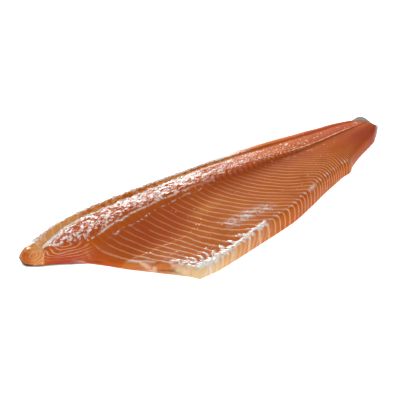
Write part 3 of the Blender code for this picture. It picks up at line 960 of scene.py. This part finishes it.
def lineStrengthOf(at, rib):
    # How clearly the muscle lines show: most on the flap, less on the tail, hardly above the spine
    # line, as rings on the head cut, and beyond the furrow as the lines of the gold
    s, below, beyond, look = at.s, at.below, at.beyond, flesh["goldLines"]
    strength = 0.1 + 0.4 * ramp(-at.foot, -1, 6) + 0.4 * ramp(below, 10, 24) * (1 - 0.75 * rib)
    onTop = ramp(at.fromBelly, 8, 14)
    strength *= 1 - 0.85 * ramp(s + 0.06 * onTop, 0.72, 0.86)
    strength = np.where(below < 0, 0.15, strength)
    onFace = np.where(at.septum > 0, 0.9, 0.6 * ramp(at.top, 3, 11))
    mixed = strength + (onFace - strength) * at.headFace
    strength = np.where(at.v > 0.6, mixed, strength)
    golden = look["strength"] * ramp(beyond, 0, 1) * fall(s, *look["endS"]) * fall(at.past, 0.5, 3)
    return np.where(beyond > -0.5, golden, strength)


def wetOf(at, marks, rib):
    # Wet all over, but for the cut faces, the trim line, the flap's front and the rear strip
    s, v = at.s, at.v
    trim = bump(at.trim, 0, 4) * fall(s, 0.3, 0.4)
    front = fall(at.fromHead, 14, 22) * band(v, 0.2, 0.7, 0.04)
    dull = np.maximum.reduce([at.wall, at.headFace, trim, front])
    wet = (1 - 0.85 * dull - 0.3 * rib * (1 - dull)) * marks["wetness"]
    return wet * (1 - 0.9 * ramp(s, 0.46, 0.6) * ramp(at.beyond, -2, 0))


def fieldsOf(at, marks):
    # The masks that the material mixes its colours by
    s, v, beyond, headFace = at.s, at.v, at.beyond, at.headFace
    foot = read(lines["spine"], s) - read(lines["spineStepV"], s)
    rib = band(v, read(lines["trim"], s) + 0.05, foot + 0.01, 0.06)
    rib *= fall(s, *flesh["ribRedEndS"]) * (0.55 + 0.45 * ramp(s, 0.02, 0.1))
    gold, cream = goldOf(at)
    frosted = fatFilmAndHighlightOf(at, marks["wave"])
    look = flesh["goldLines"]
    goldPhase = look["share"] * segmentsTo(at.x - look["lean"] * beyond)
    return {
        "segment": np.where(beyond > -0.5, goldPhase, at.phase),
        "ring": ringsOf(at),
        "headFace": headFace * ramp(v, 0.6, 0.66),
        "red": redOf(at, rib, foot),
        "gold": gold,
        "cream": cream,
        "pale": paleOf(at, marks, frosted),
        "fat": fatAndHighlightOf(at, marks, frosted),
        "lineStrength": lineStrengthOf(at, rib),
        "specks": marks["specks"] * (1 - headFace),
        "wet": wetOf(at, marks, rib),
    }


def lineOf(tree, phase, low, high):
    # 1 along the whole numbers of a phase, falling to 0 beside them
    return mathOf(tree, "SUBTRACT", 1, stepOf(tree, mathOf(tree, "PINGPONG", phase, 0.5), low, high))


def speckOf(tree, place):
    # White grains: long cells, of which the field's share is chosen, each a round spot. Most are painted
    # glints; some are pale grains of the spine line and the trim
    look = flesh["speck"]
    turn = {"Vector": place, "Rotation": (0, 0, look["lean"]), "Scale": (look["length"], 1, 1)}
    turned = addNode(tree, "Mapping", turn, {"vector_type": "TEXTURE"}).outputs[0]
    grain = addNode(tree, "TexVoronoi", {"Vector": turned, "Scale": look["scale"]})
    chance = addNode(tree, "SeparateColor", {"Color": grain.outputs["Color"]}).outputs[0]
    chosen = stepOf(tree, mathOf(tree, "SUBTRACT", fieldOf(tree, "specks"), chance), -0.05, 0.05)
    spot = mathOf(tree, "SUBTRACT", 1, stepOf(tree, grain.outputs["Distance"], *look["size"]))
    return mathOf(tree, "MULTIPLY", chosen, spot)


def fleshMaterial():
    # Orange under red, gold and cream, then muscle lines and rings, pale marks and fat. The pale, speck and
    # fat whites hold painted highlights as well as real pale tissue and fat
    material, tree, shader = newMaterial("salmonFlesh")
    tones = flesh["colours"]
    place = addNode(tree, "TexCoord").outputs["Object"]
    broad = noiseOf(tree, place, flesh["broadScale"], 3)
    fine = noiseOf(tree, place, flesh["fineScale"], 3)
    lighter = [1.12 * part for part in tones["orange"]]
    colour = mixOf(tree, stepOf(tree, broad, 0.3, 0.7), tones["orange"], lighter)
    for key in ("red", "gold", "cream"):
        colour = mixOf(tree, fieldOf(tree, key), colour, tones[key])
    swing = mathOf(tree, "SUBTRACT", fine, 0.5)
    shake = mathOf(tree, "MULTIPLY", swing, 0.16)
    line = lineOf(tree, mathOf(tree, "ADD", fieldOf(tree, "segment"), shake), 0.04, 0.16)
    ring = lineOf(tree, mathOf(tree, "ADD", fieldOf(tree, "ring"), shake), 0.06, 0.2)
    onFace = fieldOf(tree, "headFace")
    line = mathOf(tree, "MULTIPLY", line, mathOf(tree, "SUBTRACT", 1, onFace))
    line = mathOf(tree, "ADD", line, mathOf(tree, "MULTIPLY", ring, onFace))
    strength = mathOf(tree, "MULTIPLY", line, fieldOf(tree, "lineStrength"))
    strength = mathOf(tree, "MULTIPLY", strength, stepOf(tree, broad, 0.15, 0.5), clamp=True)
    lineColour = mixOf(tree, fieldOf(tree, "red"), tones["line"], tones["deepLine"])
    onGold = mathOf(tree, "MAXIMUM", onFace, fieldOf(tree, "gold"))
    colour = mixOf(tree, strength, colour, mixOf(tree, onGold, lineColour, tones["ring"]))
    ragged = mathOf(tree, "ADD", fieldOf(tree, "pale"), mathOf(tree, "MULTIPLY", swing, 0.9))
    colour = mixOf(tree, stepOf(tree, ragged, 0.25, 0.75), colour, tones["pale"])
    colour = mixOf(tree, speckOf(tree, place), colour, tones["fat"])
    colour = mixOf(tree, fieldOf(tree, "fat"), colour, tones["fat"])
    wet = addNode(tree, "Bump", {**flesh["wetRelief"], "Height": fine}).outputs[0]
    links = {"Base Color": colour, "Coat Weight": fieldOf(tree, "wet"), "Normal": wet, "Coat Normal": wet}
    plugAll(tree, shader, {**links, **flesh["surface"]})
    return material


def makeFlesh():
    at = describeFlesh()
    base = placed(at.x, at.y, at.top)
    relief, marks = shapeFlesh(at)
    top = base + gridNormals(base) * relief[..., None] * mm
    bottom = placed(at.x, at.y, at.under)
    picked = np.round(np.linspace(0, top.shape[1] - 1, flesh["underColumns"])).astype(int)
    picked = np.unique(np.append(picked, flesh["columns"][0] // 2))
    piece = closedSheet("fleshMeat", top, bottom, picked, fieldsOf(at, marks), fleshMaterial())
    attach(piece, "root")
    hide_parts("flesh")
    print("Flesh made:", len(piece.data.polygons), "faces")


makeFlesh()

# The skin

skin = {
    "rows": (190, 40),
    "columns": (20, 30, 34),
    "bellySideV": 0.3,
    "flankV": (0.12, 0.45),
    "backV": (0.6, 0.95),
    "spotV": (0.5, 0.75),
    "spotSize": (0.22, 0.34),
    "spotScale": 95,
    "scaleScale": 620,
    "scaleRelief": {"Strength": 0.5, "Distance": 0.0004},
    "surface": {"Roughness": 0.3, "Coat Weight": 0.5, "Coat Roughness": 0.1},
    "colours": {
        "back": (0.07, 0.078, 0.068),
        "flank": (0.24, 0.25, 0.23),
        "belly": (0.55, 0.54, 0.49),
        "spot": (0.012, 0.014, 0.012),
        "inner": (0.5, 0.52, 0.46),
    },
}


def skinGrid():
    # The skin stops short of the flesh at the belly and runs past it at the back and the tail
    s = gridStops(skin["rows"], (0, 1 - skinForm["tailCurl"] / 400, 1.01), False)
    belly, back = longEdges(planPlace(s, np.full_like(s, 0.5))[0])
    side = skinForm["bellyMargin"] / (back - belly)
    backSide = read(skinForm["backMargin"], unit(s)) / (back - belly)
    curl = 1 - skinForm["backCurl"] / (back - belly)
    stops = (-side, np.full_like(s, skin["bellySideV"]), curl, 1 + backSide)
    v = gridStops(skin["columns"], stops, False).T
    reach = read(skinForm["tailMargin"], unit(v)) / 400
    front = read(skinForm["headMargin"], unit(v)) / 400
    s = s[:, None]
    return s + (reach - 0.01) * np.clip(s - 1, 0, None) / 0.01 - front * unit(1 - s / 0.02), v


def skinMaterial():
    # Pale belly, grey flank and dark back with spots. The inner side shows on the lip
    material, tree, shader = newMaterial("troutSkin")
    tones = skin["colours"]
    place = addNode(tree, "TexCoord").outputs["Object"]
    across = fieldOf(tree, "backShare")
    broad = noiseOf(tree, place, 50, 3)
    colour = mixOf(tree, stepOf(tree, across, *skin["flankV"]), tones["belly"], tones["flank"])
    colour = mixOf(tree, stepOf(tree, across, *skin["backV"]), colour, tones["back"])
    spots = addNode(tree, "TexVoronoi", {"Vector": place, "Scale": skin["spotScale"]})
    spot = mathOf(tree, "SUBTRACT", 1, stepOf(tree, spots.outputs["Distance"], *skin["spotSize"]))
    spot = mathOf(tree, "MULTIPLY", spot, stepOf(tree, across, *skin["spotV"]))
    spot = mathOf(tree, "MULTIPLY", spot, stepOf(tree, broad, 0.45, 0.55))
    colour = mixOf(tree, spot, colour, tones["spot"])
    colour = mixOf(tree, fieldOf(tree, "inner"), colour, tones["inner"])
    scales = addNode(tree, "TexVoronoi", {"Vector": place, "Scale": skin["scaleScale"]})
    dent = {**skin["scaleRelief"], "Height": scales.outputs["Distance"]}
    links = {"Base Color": colour, "Normal": addNode(tree, "Bump", dent).outputs[0]}
    plugAll(tree, shader, {**links, **skin["surface"]})
    return material


def makeSkin():
    # The skin's underside, which past the tail cut also rises by lipRise for each millimetre
    s, v = skinGrid()
    x, y = planPlace(s, v)
    lip = np.clip(-edgeDistances(s, v)[1], 0, None) * read(skinForm["lipRise"], unit(v))
    bottom = placed(x, y, skinUnderside(s, v)[0] + lip)
    top = bottom + gridNormals(bottom) * skinForm["thickness"] * mm
    across = longEdges(x)[1] - longEdges(x)[0]
    inner = ramp((v - 1) * across, 0, 0.8) * ramp(s, 0.9, 0.95) + ramp((s - 1) * 400, 0, 0.8) + (s < 0)
    fields = {"backShare": unit(v), "inner": unit(inner)}
    piece = closedSheet("skinSheet", top, bottom, np.arange(v.shape[1]), fields, skinMaterial())
    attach(piece, "root")
    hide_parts("skin")
    print("Skin made:", len(piece.data.polygons), "faces")


makeSkin()
